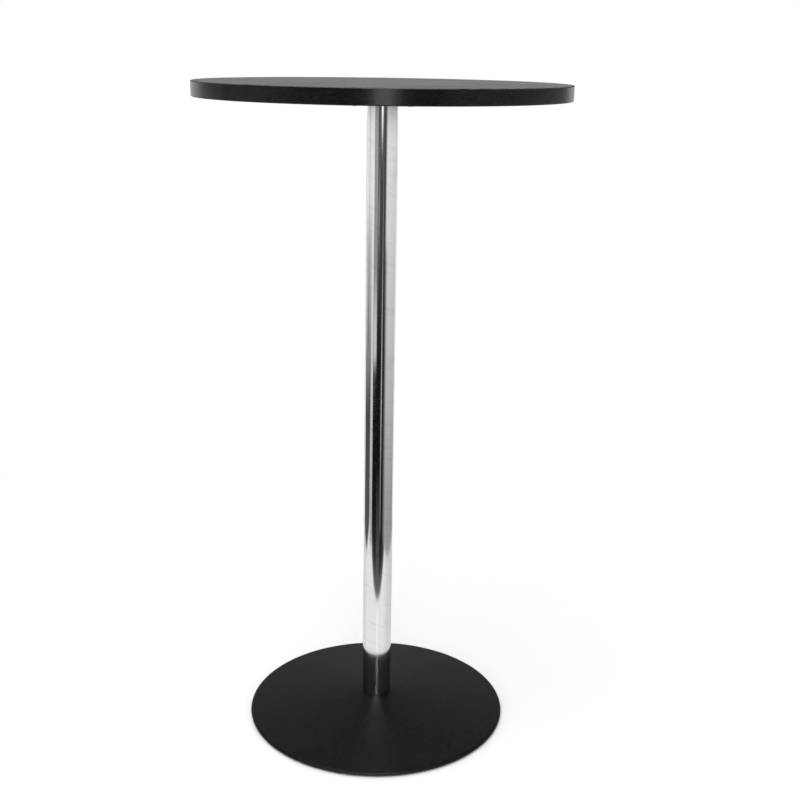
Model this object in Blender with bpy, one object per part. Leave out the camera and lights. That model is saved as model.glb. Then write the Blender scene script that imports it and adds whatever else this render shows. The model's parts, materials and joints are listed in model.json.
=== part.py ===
# A tall round pedestal table: a laminated top on a chromed column and a low, weighted, conical base.
# Metres, +Z up. The origin is on the floor, on the column's axis.

import math

import bmesh
import bpy

# Overall sizes
TABLE_HEIGHT = 1.100
TOP_DIAMETER = 0.600
TOP_THICKNESS = 0.024
COLUMN_DIAMETER = 0.050
BASE_DIAMETER = 0.450
BASE_SEAT_HEIGHT = 0.034        # floor to the flat that the column stands on

# Clearances
SEAT_GAP = 0.0003               # between pieces that touch, nest or screw together
BOLT_HOLE_CLEARANCE = 0.0005    # round each bolt, in the head plate and the washer
DRILL_SPARE = 0.0010            # drilled depth left beyond the end of a bolt or rod
NUT_RECESS_CLEARANCE = 0.0030   # round the rod washer, for a socket spanner

# Table top
LAMINATE_THICKNESS = 0.0008
EDGE_BAND_THICKNESS = 0.0020
EDGE_BAND_ROUNDING = 0.0015

# Head plate and the fixings that hold it to the top
HEAD_PLATE_DIAMETER = 0.200
HEAD_PLATE_THICKNESS = 0.005
HEAD_SPIGOT_LENGTH = 0.035      # inside the column
HEAD_SHOULDER = 0.0112          # width of the step to the stub that is welded into the plate
FIXING_COUNT = 6
FIXING_EDGE_DISTANCE = 0.015    # plate's edge to the middle of a bolt
BOLT_DIAMETER = 0.006
BOLT_LENGTH = 0.016
BOLT_HEAD_DIAMETER = 0.0105
BOLT_HEAD_HEIGHT = 0.0033
BOLT_SOCKET_WIDTH = 0.004
BOLT_SOCKET_DEPTH = 0.0018
WASHER_DIAMETER = 0.0120
WASHER_THICKNESS = 0.0012
INSERT_DIAMETER = 0.010
INSERT_LENGTH = 0.013

# Column and tie rod
COLUMN_WALL = 0.0015
ROD_DIAMETER = 0.010
ROD_ENGAGEMENT = 0.025          # rod screwed into the head spigot
ROD_STICK_OUT = 0.0015          # rod showing below its nut
ROD_NUT_WIDTH = 0.016
ROD_NUT_HEIGHT = 0.0084
ROD_WASHER_DIAMETER = 0.030
ROD_WASHER_THICKNESS = 0.0025
SPRING_WASHER_DIAMETER = 0.0181
SPRING_WASHER_THICKNESS = 0.0022
SPRING_WASHER_SPLIT = 0.0016
STEEL_CHAMFER = 0.0010          # lead-in on the rod and the spigots

# Base
COVER_THICKNESS = 0.0020
RIM_LIFT = 0.0030               # floor to the cover's lower edge
RIM_LIP = 0.0005                # upright stretch below the rounded rim
RIM_ROUNDING = 0.0040
SEAT_MARGIN = 0.0010            # flat left round the column's foot
FOOT_SPIGOT_HEIGHT = 0.025      # inside the column
FOOT_SHOULDER = 0.0082          # width of the step to the stub that goes through the cover
FOOT_PILOT_DEPTH = 0.0030       # stub's depth in the ballast
BALLAST_EDGE = 0.0030           # thickness at the ballast's outer edge
BALLAST_WEB = 0.0080            # iron between the column's seat and the nut recess

# Levelling glides
GLIDE_COUNT = 4
GLIDE_INSET = 0.075             # base's rim to the middle of a glide
GLIDE_PAD_DIAMETER = 0.026
GLIDE_PAD_HEIGHT = 0.0050
GLIDE_PAD_ROUNDING = 0.0010
GLIDE_PAD_FLOOR = 0.0015        # plastic under the stem
GLIDE_STEM_DIAMETER = 0.006

# Facets
DISC_SEGMENTS = 96
ROUND_SEGMENTS = 48
TURNED_SEGMENTS = 32
SMALL_SEGMENTS = 16
ROUNDING_STEPS = 3
LARGEST_FILLET_SHARE = 0.9      # of the wall that a fillet is cut into
MERGE_DISTANCE = 0.000001
SHARP_ANGLE = math.radians(30)

# Heights, from the floor up
ballast_underside = GLIDE_PAD_HEIGHT + SEAT_GAP
ballast_seat = BASE_SEAT_HEIGHT - COVER_THICKNESS - SEAT_GAP
recess_roof = ballast_seat - BALLAST_WEB
foot_pilot_floor = ballast_seat - FOOT_PILOT_DEPTH
rod_washer_base = recess_roof - SEAT_GAP - ROD_WASHER_THICKNESS
spring_washer_base = rod_washer_base - SEAT_GAP - SPRING_WASHER_THICKNESS
rod_nut_base = spring_washer_base - SEAT_GAP - ROD_NUT_HEIGHT
rod_base = rod_nut_base - ROD_STICK_OUT
column_base = BASE_SEAT_HEIGHT + SEAT_GAP
top_underside = TABLE_HEIGHT - TOP_THICKNESS
head_plate_base = top_underside - SEAT_GAP - HEAD_PLATE_THICKNESS
column_top = head_plate_base - SEAT_GAP
head_spigot_base = column_top - HEAD_SPIGOT_LENGTH
rod_top = head_spigot_base + ROD_ENGAGEMENT
washer_base = head_plate_base - SEAT_GAP - WASHER_THICKNESS
bolt_seat = washer_base - SEAT_GAP

# Radii
column_radius = COLUMN_DIAMETER / 2
spigot_radius = column_radius - COLUMN_WALL - SEAT_GAP
head_pilot_radius = spigot_radius - HEAD_SHOULDER
foot_pilot_radius = spigot_radius - FOOT_SHOULDER
foot_pilot_hole_radius = foot_pilot_radius + SEAT_GAP
rod_radius = ROD_DIAMETER / 2
rod_hole_radius = rod_radius + SEAT_GAP
bolt_radius = BOLT_DIAMETER / 2
bolt_hole_radius = bolt_radius + BOLT_HOLE_CLEARANCE
insert_radius = INSERT_DIAMETER / 2
board_radius = TOP_DIAMETER / 2 - EDGE_BAND_THICKNESS - SEAT_GAP
base_radius = BASE_DIAMETER / 2
stem_radius = GLIDE_STEM_DIAMETER / 2
stem_hole_radius = stem_radius + SEAT_GAP
glide_circle_radius = base_radius - GLIDE_INSET
fixing_circle_radius = HEAD_PLATE_DIAMETER / 2 - FIXING_EDGE_DISTANCE

# The cover's cone runs from the edge of the column's seat to a line that touches the rounded rim.
# A surface that lies deeper by an offset keeps the same slope, and rounds the rim about the same centre.
seat_radius = column_radius + SEAT_MARGIN
rim_centre = (base_radius - RIM_ROUNDING, RIM_LIFT + RIM_LIP)
run = rim_centre[0] - seat_radius
drop = rim_centre[1] - BASE_SEAT_HEIGHT
cone_angle = math.atan2(drop, run) + math.asin(RIM_ROUNDING / math.hypot(run, drop))


def cone_start(offset):
    # Where the flat seat turns into the cone, this far below the outer surface.
    return seat_radius + offset * math.tan(cone_angle / 2), BASE_SEAT_HEIGHT - offset


def cone_height(radius, offset):
    # Height of the cone at a radius, this far below the outer surface.
    start_radius, start_height = cone_start(offset)
    return start_height + (radius - start_radius) * math.tan(cone_angle)


def arc(centre, radius, start, end, steps=ROUNDING_STEPS):
    # Points on an arc, with angles from the outward direction towards +Z.
    turns = [start + (end - start) * step / steps for step in range(steps + 1)]
    return [(centre[0] + radius * math.cos(turn), centre[1] + radius * math.sin(turn)) for turn in turns]


def circle_places(count, radius, first_angle):
    # Evenly spaced places on a circle about the column's axis.
    turns = [first_angle + math.tau * index / count for index in range(count)]
    return [(radius * math.cos(turn), radius * math.sin(turn)) for turn in turns]


fixing_places = circle_places(FIXING_COUNT, fixing_circle_radius, 0.0)
glide_places = circle_places(GLIDE_COUNT, glide_circle_radius, math.pi / GLIDE_COUNT)


def finish(name, colour, roughness, metallic):
    material = bpy.data.materials.new(name)
    material.use_nodes = True
    shader = material.node_tree.nodes["Principled BSDF"]
    shader.inputs["Base Color"].default_value = (*colour, 1.0)
    shader.inputs["Roughness"].default_value = roughness
    shader.inputs["Metallic"].default_value = metallic
    material.diffuse_color = (*colour, 1.0)
    return material


def frame_empty(name, parent=None, location=(0.0, 0.0, 0.0)):
    empty = bpy.data.objects.new(name, None)
    empty.parent = parent
    empty.location = location
    bpy.context.collection.objects.link(empty)
    return empty


def add_piece(name, mesh, parent=None, location=(0.0, 0.0, 0.0)):
    piece = bpy.data.objects.new(name, mesh)
    piece.parent = parent
    piece.location = location
    bpy.context.collection.objects.link(piece)
    return piece


def mesh_from(shape, name, material):
    # Closes a modelled shape, turns its faces outwards and shades it.
    bmesh.ops.remove_doubles(shape, verts=shape.verts, dist=MERGE_DISTANCE)
    bmesh.ops.recalc_face_normals(shape, faces=shape.faces)
    mesh = bpy.data.meshes.new(name)
    shape.to_mesh(mesh)
    shape.free()
    mesh.shade_smooth()
    mesh.set_sharp_from_angle(angle=SHARP_ANGLE)
    mesh.materials.append(material)
    return mesh


def turned(name, outline, segments, material):
    # Spins a closed outline of (radius, height) points about Z. A side on the axis is left out.
    shape = bmesh.new()
    points = [shape.verts.new((radius, 0.0, height)) for radius, height in outline]
    sides = []
    for first, second in zip(points, points[1:] + points[:1]):
        if max(first.co.x, second.co.x) > MERGE_DISTANCE:
            sides.append(shape.edges.new((first, second)))
    bmesh.ops.spin(
        shape,
        geom=points + sides,
        cent=(0.0, 0.0, 0.0),
        axis=(0.0, 0.0, 1.0),
        angle=math.tau,
        steps=segments,
        use_merge=True,
    )
    return mesh_from(shape, name, material)


def ring(name, inner, outer, height, segments, material):
    outline = [(inner, 0.0), (outer, 0.0), (outer, height), (inner, height)]
    return turned(name, outline, segments, material)


def posts(name, places, radius, low, high, sides, material):
    # Upright prisms at each place, as one cutting tool.
    shape = bmesh.new()
    for x, y in places:
        made = bmesh.ops.create_cone(
            shape, cap_ends=True, segments=sides, radius1=radius, radius2=radius, depth=high - low
        )
        bmesh.ops.translate(shape, verts=made["verts"], vec=(x, y, (low + high) / 2))
    return mesh_from(shape, name, material)


def carve(mesh, tool):
    # The mesh with the tool's shape cut out of it.
    piece = add_piece("blank", mesh)
    cutter = add_piece("cutter", tool)
    cut = piece.modifiers.new("cut", "BOOLEAN")
    cut.operation = "DIFFERENCE"
    cut.solver = "EXACT"
    cut.object = cutter
    depsgraph = bpy.context.evaluated_depsgraph_get()
    carved = bpy.data.meshes.new_from_object(piece.evaluated_get(depsgraph))
    carved.name = mesh.name
    bpy.data.objects.remove(piece)
    bpy.data.objects.remove(cutter)
    return carved


def add_top(parent, black_laminate, black_edging, chipboard):
    core_thickness = TOP_THICKNESS - 2 * (LAMINATE_THICKNESS + SEAT_GAP)
    core_base = LAMINATE_THICKNESS + SEAT_GAP
    bolt_reach = bolt_seat + BOLT_LENGTH - top_underside
    hole_depth = max(INSERT_LENGTH, bolt_reach) + DRILL_SPARE
    insert_hole_radius = insert_radius + SEAT_GAP

    def disc(name, thickness, material):
        outline = [(0.0, 0.0), (board_radius, 0.0), (board_radius, thickness), (0.0, thickness)]
        return turned(name, outline, DISC_SEGMENTS, material)

    def insert_holes(base):
        low, high = -TOP_THICKNESS, hole_depth - base
        return posts("holes", fixing_places, insert_hole_radius, low, high, SMALL_SEGMENTS, chipboard)

    core = carve(disc("top_core", core_thickness, chipboard), insert_holes(core_base))
    backer = carve(disc("top_backer", LAMINATE_THICKNESS, black_laminate), insert_holes(0.0))
    face = disc("top_laminate", LAMINATE_THICKNESS, black_laminate)
    add_piece("top_backer", backer, parent)
    add_piece("top_core", core, parent, (0.0, 0.0, core_base))
    add_piece("top_laminate", face, parent, (0.0, 0.0, TOP_THICKNESS - LAMINATE_THICKNESS))

    outer = TOP_DIAMETER / 2
    inner = outer - EDGE_BAND_THICKNESS
    rounding = min(EDGE_BAND_ROUNDING, EDGE_BAND_THICKNESS * LARGEST_FILLET_SHARE)
    lower = arc((outer - rounding, rounding), rounding, -math.pi / 2, 0.0)
    upper = arc((outer - rounding, TOP_THICKNESS - rounding), rounding, 0.0, math.pi / 2)
    outline = [(inner, 0.0)] + lower + upper + [(inner, TOP_THICKNESS)]
    add_piece("edge_band", turned("edge_band", outline, DISC_SEGMENTS, black_edging), parent)


def bolt_mesh(steel):
    # A button-head bolt: the origin is under its head, the shank points up and the hex socket opens down.
    head_radius = BOLT_HEAD_DIAMETER / 2
    crown_radius = (BOLT_SOCKET_WIDTH / math.sqrt(3) + head_radius) / 2
    outline = [
        (0.0, -BOLT_HEAD_HEIGHT),
        (crown_radius, -BOLT_HEAD_HEIGHT),
        ((crown_radius + head_radius) / 2, -BOLT_HEAD_HEIGHT * 3 / 4),
        (head_radius, -BOLT_HEAD_HEIGHT / 4),
        (head_radius, 0.0),
        (bolt_radius, 0.0),
        (bolt_radius, BOLT_LENGTH - STEEL_CHAMFER),
        (bolt_radius - STEEL_CHAMFER, BOLT_LENGTH),
        (0.0, BOLT_LENGTH),
    ]
    blank = turned("plate_bolt", outline, SMALL_SEGMENTS, steel)
    socket_floor = BOLT_SOCKET_DEPTH - BOLT_HEAD_HEIGHT
    corner = BOLT_SOCKET_WIDTH / math.sqrt(3)
    socket = posts("socket", [(0.0, 0.0)], corner, -2 * BOLT_HEAD_HEIGHT, socket_floor, 6, steel)
    return carve(blank, socket)


def add_head(parent, black_coat, steel):
    plate_radius = HEAD_PLATE_DIAMETER / 2
    hole_radius = head_pilot_radius + SEAT_GAP
    blank = ring("head_plate", hole_radius, plate_radius, HEAD_PLATE_THICKNESS, ROUND_SEGMENTS, black_coat)
    low, high = -HEAD_PLATE_THICKNESS, 2 * HEAD_PLATE_THICKNESS
    holes = posts("holes", fixing_places, bolt_hole_radius, low, high, SMALL_SEGMENTS, black_coat)
    add_piece("head_plate", carve(blank, holes), parent, (0.0, 0.0, head_plate_base))

    rod_hole_depth = ROD_ENGAGEMENT + DRILL_SPARE
    pilot_top = HEAD_SPIGOT_LENGTH + SEAT_GAP + HEAD_PLATE_THICKNESS
    outline = [
        (0.0, rod_hole_depth),
        (rod_hole_radius, rod_hole_depth),
        (rod_hole_radius, 0.0),
        (spigot_radius - STEEL_CHAMFER, 0.0),
        (spigot_radius, STEEL_CHAMFER),
        (spigot_radius, HEAD_SPIGOT_LENGTH),
        (head_pilot_radius, HEAD_SPIGOT_LENGTH),
        (head_pilot_radius, pilot_top),
        (0.0, pilot_top),
    ]
    spigot = turned("head_spigot", outline, TURNED_SEGMENTS, steel)
    add_piece("head_spigot", spigot, parent, (0.0, 0.0, head_spigot_base))

    bolt = bolt_mesh(steel)
    washer = ring(
        "plate_washer", bolt_hole_radius, WASHER_DIAMETER / 2, WASHER_THICKNESS, SMALL_SEGMENTS, steel
    )
    insert = ring(
        "insert_nut", bolt_radius + SEAT_GAP, insert_radius, INSERT_LENGTH, SMALL_SEGMENTS, steel
    )
    for number, (x, y) in enumerate(fixing_places, start=1):
        add_piece(f"plate_bolt_{number}", bolt, parent, (x, y, bolt_seat))
        add_piece(f"plate_washer_{number}", washer, parent, (x, y, washer_base))
        add_piece(f"insert_nut_{number}", insert, parent, (x, y, top_underside))


def add_column(parent, chrome, steel):
    height = column_top - column_base
    tube = ring("column_tube", column_radius - COLUMN_WALL, column_radius, height, ROUND_SEGMENTS, chrome)
    add_piece("column_tube", tube, parent, (0.0, 0.0, column_base))

    length = rod_top - rod_base
    outline = [
        (0.0, 0.0),
        (rod_radius - STEEL_CHAMFER, 0.0),
        (rod_radius, STEEL_CHAMFER),
        (rod_radius, length - STEEL_CHAMFER),
        (rod_radius - STEEL_CHAMFER, length),
        (0.0, length),
    ]
    add_piece("tie_rod", turned("tie_rod", outline, SMALL_SEGMENTS, steel), parent, (0.0, 0.0, rod_base))


def add_cover(parent, black_coat):
    tilt = math.pi / 2 + cone_angle
    outside = arc(rim_centre, RIM_ROUNDING, tilt, 0.0)
    inside = arc(rim_centre, max(RIM_ROUNDING - COVER_THICKNESS, 0.0), 0.0, tilt)
    outline = [(foot_pilot_hole_radius, BASE_SEAT_HEIGHT), cone_start(0.0)]
    outline += outside + [(base_radius, RIM_LIFT), (base_radius - COVER_THICKNESS, RIM_LIFT)]
    outline += inside + [cone_start(COVER_THICKNESS)]
    outline += [(foot_pilot_hole_radius, BASE_SEAT_HEIGHT - COVER_THICKNESS)]
    add_piece("base_cover", turned("base_cover", outline, DISC_SEGMENTS, black_coat), parent)


def add_ballast(parent, cast_iron):
    # A cone-topped disc that fills the cover, recessed below for the rod's nut and drilled for the glides.
    offset = COVER_THICKNESS + SEAT_GAP
    start_radius, start_height = cone_start(offset)
    edge_height = ballast_underside + BALLAST_EDGE
    edge_radius = start_radius + (edge_height - start_height) / math.tan(cone_angle)
    recess_radius = ROD_WASHER_DIAMETER / 2 + NUT_RECESS_CLEARANCE
    outline = [
        (rod_hole_radius, recess_roof),
        (rod_hole_radius, foot_pilot_floor),
        (foot_pilot_hole_radius, foot_pilot_floor),
        (foot_pilot_hole_radius, ballast_seat),
        (start_radius, start_height),
        (edge_radius, edge_height),
        (edge_radius, ballast_underside),
        (recess_radius, ballast_underside),
        (recess_radius, recess_roof),
    ]
    blank = turned("ballast", outline, ROUND_SEGMENTS, cast_iron)
    holes = posts("holes", glide_places, stem_hole_radius, 0.0, BASE_SEAT_HEIGHT, SMALL_SEGMENTS, cast_iron)
    add_piece("ballast", carve(blank, holes), parent)


def add_foot_spigot(parent, steel):
    pilot_base = foot_pilot_floor + SEAT_GAP
    spigot_top = column_base + FOOT_SPIGOT_HEIGHT
    outline = [
        (rod_hole_radius, pilot_base),
        (foot_pilot_radius, pilot_base),
        (foot_pilot_radius, column_base),
        (spigot_radius, column_base),
        (spigot_radius, spigot_top - STEEL_CHAMFER),
        (spigot_radius - STEEL_CHAMFER, spigot_top),
        (rod_hole_radius, spigot_top),
    ]
    add_piece("foot_spigot", turned("foot_spigot", outline, TURNED_SEGMENTS, steel), parent)


def split_ring(name, inner, outer, height, split, segments, material):
    # A ring with a gap cut across one side.
    half_gap = math.asin(split / (inner + outer))
    shape = bmesh.new()
    turn = (math.cos(half_gap), math.sin(half_gap))
    section = [(inner, 0.0), (outer, 0.0), (outer, height), (inner, height)]
    corners = [shape.verts.new((radius * turn[0], radius * turn[1], z)) for radius, z in section]
    end_face = shape.faces.new(corners)
    bmesh.ops.spin(
        shape,
        geom=[end_face, *end_face.edges, *end_face.verts],
        cent=(0.0, 0.0, 0.0),
        axis=(0.0, 0.0, 1.0),
        angle=math.tau - 2 * half_gap,
        steps=segments,
    )
    return mesh_from(shape, name, material)


def add_rod_fixing(parent, steel):
    washer = ring(
        "rod_washer", rod_hole_radius, ROD_WASHER_DIAMETER / 2, ROD_WASHER_THICKNESS, TURNED_SEGMENTS, steel
    )
    add_piece("rod_washer", washer, parent, (0.0, 0.0, rod_washer_base))
    spring = split_ring(
        "spring_washer",
        rod_hole_radius,
        SPRING_WASHER_DIAMETER / 2,
        SPRING_WASHER_THICKNESS,
        SPRING_WASHER_SPLIT,
        SMALL_SEGMENTS,
        steel,
    )
    add_piece("spring_washer", spring, parent, (0.0, 0.0, spring_washer_base))
    corner = ROD_NUT_WIDTH / math.sqrt(3)
    middle = [(0.0, 0.0)]
    blank = posts("rod_nut", middle, corner, 0.0, ROD_NUT_HEIGHT, 6, steel)
    bore = posts("bore", middle, rod_hole_radius, -ROD_NUT_HEIGHT, 2 * ROD_NUT_HEIGHT, SMALL_SEGMENTS, steel)
    add_piece("rod_nut", carve(blank, bore), parent, (0.0, 0.0, rod_nut_base))


def add_glides(parent, steel, black_nylon):
    # Each glide screws up and down in the ballast, so its empty stands on its own axis.
    pad_radius = GLIDE_PAD_DIAMETER / 2
    stem_base = GLIDE_PAD_FLOOR + SEAT_GAP
    stem_top = cone_height(glide_circle_radius + stem_hole_radius, COVER_THICKNESS + SEAT_GAP)
    stem_chamfer = min(STEEL_CHAMFER, stem_radius / 2)
    round_centre = (pad_radius - GLIDE_PAD_ROUNDING, GLIDE_PAD_ROUNDING)
    pad_outline = [(0.0, 0.0)]
    pad_outline += arc(round_centre, GLIDE_PAD_ROUNDING, -math.pi / 2, 0.0)
    pad_outline += [
        (pad_radius, GLIDE_PAD_HEIGHT),
        (stem_hole_radius, GLIDE_PAD_HEIGHT),
        (stem_hole_radius, GLIDE_PAD_FLOOR),
        (0.0, GLIDE_PAD_FLOOR),
    ]
    stem_outline = [
        (0.0, stem_base),
        (stem_radius, stem_base),
        (stem_radius, stem_top - stem_chamfer),
        (stem_radius - stem_chamfer, stem_top),
        (0.0, stem_top),
    ]
    pad = turned("glide_pad", pad_outline, SMALL_SEGMENTS, black_nylon)
    stem = turned("glide_stem", stem_outline, SMALL_SEGMENTS, steel)
    for number, (x, y) in enumerate(glide_places, start=1):
        glide = frame_empty(f"glide_{number}", parent, (x, y, 0.0))
        add_piece(f"glide_pad_{number}", pad, glide)
        add_piece(f"glide_stem_{number}", stem, glide)


def main():
    for old in list(bpy.data.objects):
        bpy.data.objects.remove(old)

    black_laminate = finish("black_laminate", (0.022, 0.022, 0.022), 0.42, 0.0)
    black_edging = finish("black_edging", (0.012, 0.012, 0.012), 0.35, 0.0)
    chipboard = finish("chipboard", (0.45, 0.32, 0.19), 0.85, 0.0)
    chrome = finish("chrome", (0.78, 0.78, 0.79), 0.06, 1.0)
    black_coat = finish("black_powder_coat", (0.020, 0.020, 0.021), 0.50, 0.0)
    cast_iron = finish("cast_iron", (0.060, 0.060, 0.062), 0.75, 0.6)
    steel = finish("zinc_plated_steel", (0.60, 0.60, 0.58), 0.35, 1.0)
    black_nylon = finish("black_nylon", (0.015, 0.015, 0.015), 0.55, 0.0)

    table = frame_empty("table")
    top = frame_empty("top", table, (0.0, 0.0, top_underside))
    add_top(top, black_laminate, black_edging, chipboard)
    add_head(table, black_coat, steel)
    add_column(table, chrome, steel)
    add_cover(table, black_coat)
    add_ballast(table, cast_iron)
    add_foot_spigot(table, steel)
    add_rod_fixing(table, steel)
    add_glides(table, steel, black_nylon)


main()
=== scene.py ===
# Dresses the tall round table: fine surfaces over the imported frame, their finishes, a studio and a camera
import json
import math

import bmesh
import bpy
import numpy as np
from mathutils import Matrix, Vector

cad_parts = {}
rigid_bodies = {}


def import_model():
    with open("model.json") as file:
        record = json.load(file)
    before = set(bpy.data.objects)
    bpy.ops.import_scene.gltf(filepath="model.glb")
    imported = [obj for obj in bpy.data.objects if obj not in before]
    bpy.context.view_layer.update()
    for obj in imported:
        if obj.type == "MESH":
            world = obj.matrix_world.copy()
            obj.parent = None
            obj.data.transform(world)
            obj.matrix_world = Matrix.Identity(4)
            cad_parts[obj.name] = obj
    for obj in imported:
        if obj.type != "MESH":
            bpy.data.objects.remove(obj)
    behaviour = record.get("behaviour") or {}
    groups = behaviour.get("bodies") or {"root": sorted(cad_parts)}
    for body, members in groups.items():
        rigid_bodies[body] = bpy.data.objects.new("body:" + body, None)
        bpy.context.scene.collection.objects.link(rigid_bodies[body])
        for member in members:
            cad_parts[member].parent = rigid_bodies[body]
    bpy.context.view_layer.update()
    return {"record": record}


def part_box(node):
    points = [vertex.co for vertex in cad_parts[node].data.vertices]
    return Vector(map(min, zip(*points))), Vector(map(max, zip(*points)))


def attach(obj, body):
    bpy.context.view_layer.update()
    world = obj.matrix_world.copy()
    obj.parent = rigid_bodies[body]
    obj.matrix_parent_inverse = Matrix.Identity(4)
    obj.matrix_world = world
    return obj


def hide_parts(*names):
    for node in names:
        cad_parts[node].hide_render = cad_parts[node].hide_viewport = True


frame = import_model()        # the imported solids, their bodies and their record
slotOf = {row["node"]: row["material_slot"] for row in frame["record"]["subparts"]}
bodyOf = {node: body for body, nodes in frame["record"]["behaviour"]["bodies"].items() for node in nodes}

tau = 2 * math.pi
meshing = {"merge": 1e-7, "least": 1e-9, "sharp": math.radians(40), "roundSteps": 4, "support": 0.1,
           "threadSteps": 8, "sheetRows": 6, "arcSteps": 24, "sideSteps": 16}


# size of a round node: its middle, its radius and the heights of its two ends
def span(node):
    low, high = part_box(node)
    return (low + high) / 2, (high.x - low.x) / 2, low.z, high.z


# points of an arc: its middle plus the radius at evenly spaced angles, given in degrees
def arcPoints(middle, radius, start, end, steps):
    angle = np.radians(np.linspace(start, end, steps + 1))
    return np.array(middle) + radius * np.stack([np.cos(angle), np.sin(angle)], axis=-1)


# rounded outline: each corner (radius, height, rounding) becomes the arc that touches both its edges,
# with one more point just before and just after it, so that the flats stay flat when shaded
def roundOutline(corners, steps=meshing["roundSteps"]):
    outline = []
    for i, (radius, height, rounding) in enumerate(corners):
        corner = np.array((radius, height))
        if rounding == 0:
            outline.append(corner[None])
            continue
        before = np.array(corners[i - 1][:2]) - corner
        after = np.array(corners[(i + 1) % len(corners)][:2]) - corner
        before, after = before / np.linalg.norm(before), after / np.linalg.norm(after)
        half = math.acos(np.clip(before @ after, -1, 1)) / 2
        reach = rounding / math.tan(half)
        toMiddle = (before + after) / np.linalg.norm(before + after)
        middle = corner + toMiddle * rounding / math.sin(half)
        first, last = corner + before * reach - middle, corner + after * reach - middle
        sweep = math.pi - 2 * half
        t = np.linspace(0, 1, steps + 1)[:, None]
        bend = (np.sin((1 - t) * sweep) * first + np.sin(t * sweep) * last) / math.sin(sweep)
        aside = reach * (1 + meshing["support"])
        outline.append(np.vstack([corner + before * aside, middle + bend, corner + after * aside]))
    return np.vstack(outline)


# section of a ring: a rectangle from its bore to its outside, with the same rounding at all four corners
def ringSection(bore, radius, low, high, rounding, steps=meshing["roundSteps"]):
    corners = [(bore, low), (radius, low), (radius, high), (bore, high)]
    return roundOutline([(*corner, rounding) for corner in corners], steps)


def evenAngles(count, start=0.0):
    return start + np.arange(count) * tau / count


# turned shape: each outline point (r, h) goes round the axis, so x = r cos a, y = r sin a and z = h;
# grow is a table of factors on r for each outline point and angle, which makes flats and threads
def turn(outline, angles, middle=(0, 0), grow=1.0):
    radius = np.outer(outline[:, 0], np.ones(len(angles))) * grow
    height = np.outer(outline[:, 1], np.ones(len(angles)))
    x, y = middle[0] + radius * np.cos(angles), middle[1] + radius * np.sin(angles)
    return np.stack([x, y, height], axis=-1)


# hexagon: a circle of radius 1, drawn out to one over the cosine of the angle from the nearest flat
def hexagon(angles):
    return 1 / np.cos((angles + math.pi / 6) % (math.pi / 3) - math.pi / 6)


# screw thread: the radius falls by up to the depth in a triangle wave, once a pitch along the axis and
# once a turn, and the wave fades in and out over one pitch at both ends
def threadGrow(outline, angles, low, high, thread):
    height = outline[:, 1][:, None]
    wave = np.abs(((height - low) / thread["pitch"] - angles[None] / tau) % 1 * 2 - 1)
    fade = np.clip((height - low) / thread["pitch"], 0, 1) * np.clip((high - height) / thread["pitch"], 0, 1)
    return 1 - thread["threadDepth"] * wave * fade / np.maximum(outline[:, :1], meshing["least"])


# straight run of an outline with enough points for a thread
def threadRun(radius, low, high, pitch, perPitch=meshing["threadSteps"]):
    height = np.linspace(low, high, max(2, round((high - low) / pitch * perPitch)))
    return np.stack([np.full(len(height), radius), height], axis=-1)


# drilled sheet: in the wedge of each hole, points run straight from the hole's edge to the wedge's edge,
# under and over the sheet, and each point's height is worked out from its distance to the axis
def drilledSheet(inner, outer, holes, lowHeight, highHeight, rows=meshing["sheetRows"]):
    half = math.pi / holes["count"]
    arc = np.linspace(-half, half, meshing["arcSteps"] + 1)[:-1]
    side = np.linspace(outer, inner, meshing["sideSteps"] + 1)[:-1]
    edge = np.concatenate([
        outer * np.exp(1j * arc), side * np.exp(1j * half), inner * np.exp(-1j * arc),
        (inner + outer - side) * np.exp(-1j * half),
    ])
    away = edge - holes["circle"]
    away = away / np.abs(away)
    lip = holes["circle"] + (holes["radius"] + holes["chamfer"]) * away
    wall = holes["circle"] + holes["radius"] * away
    t = np.linspace(0, 1, rows + 1)[:, None]
    sheet = lip * (1 - t) + edge * t
    patches = []
    for number in range(holes["count"]):
        swing = np.exp(1j * (holes["first"] + 2 * half * number))
        flat = np.vstack([sheet[::-1], wall[None], wall[None], sheet]) * swing
        far = np.abs(flat)
        height = np.vstack([
            lowHeight(far[:rows + 1]), lowHeight(far[rows + 1:rows + 2]) + holes["chamfer"],
            highHeight(far[rows + 2:rows + 3]) - holes["chamfer"], highHeight(far[rows + 3:]),
        ])
        patches.append((np.stack([flat.real, flat.imag, height], axis=-1), False))
    angles = evenAngles(meshing["arcSteps"] * holes["count"], holes["first"] - half)
    return patches, angles


# level face of a drilled sheet: the same height at every distance
def level(height):
    return lambda far: np.full(far.shape, height)


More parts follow.
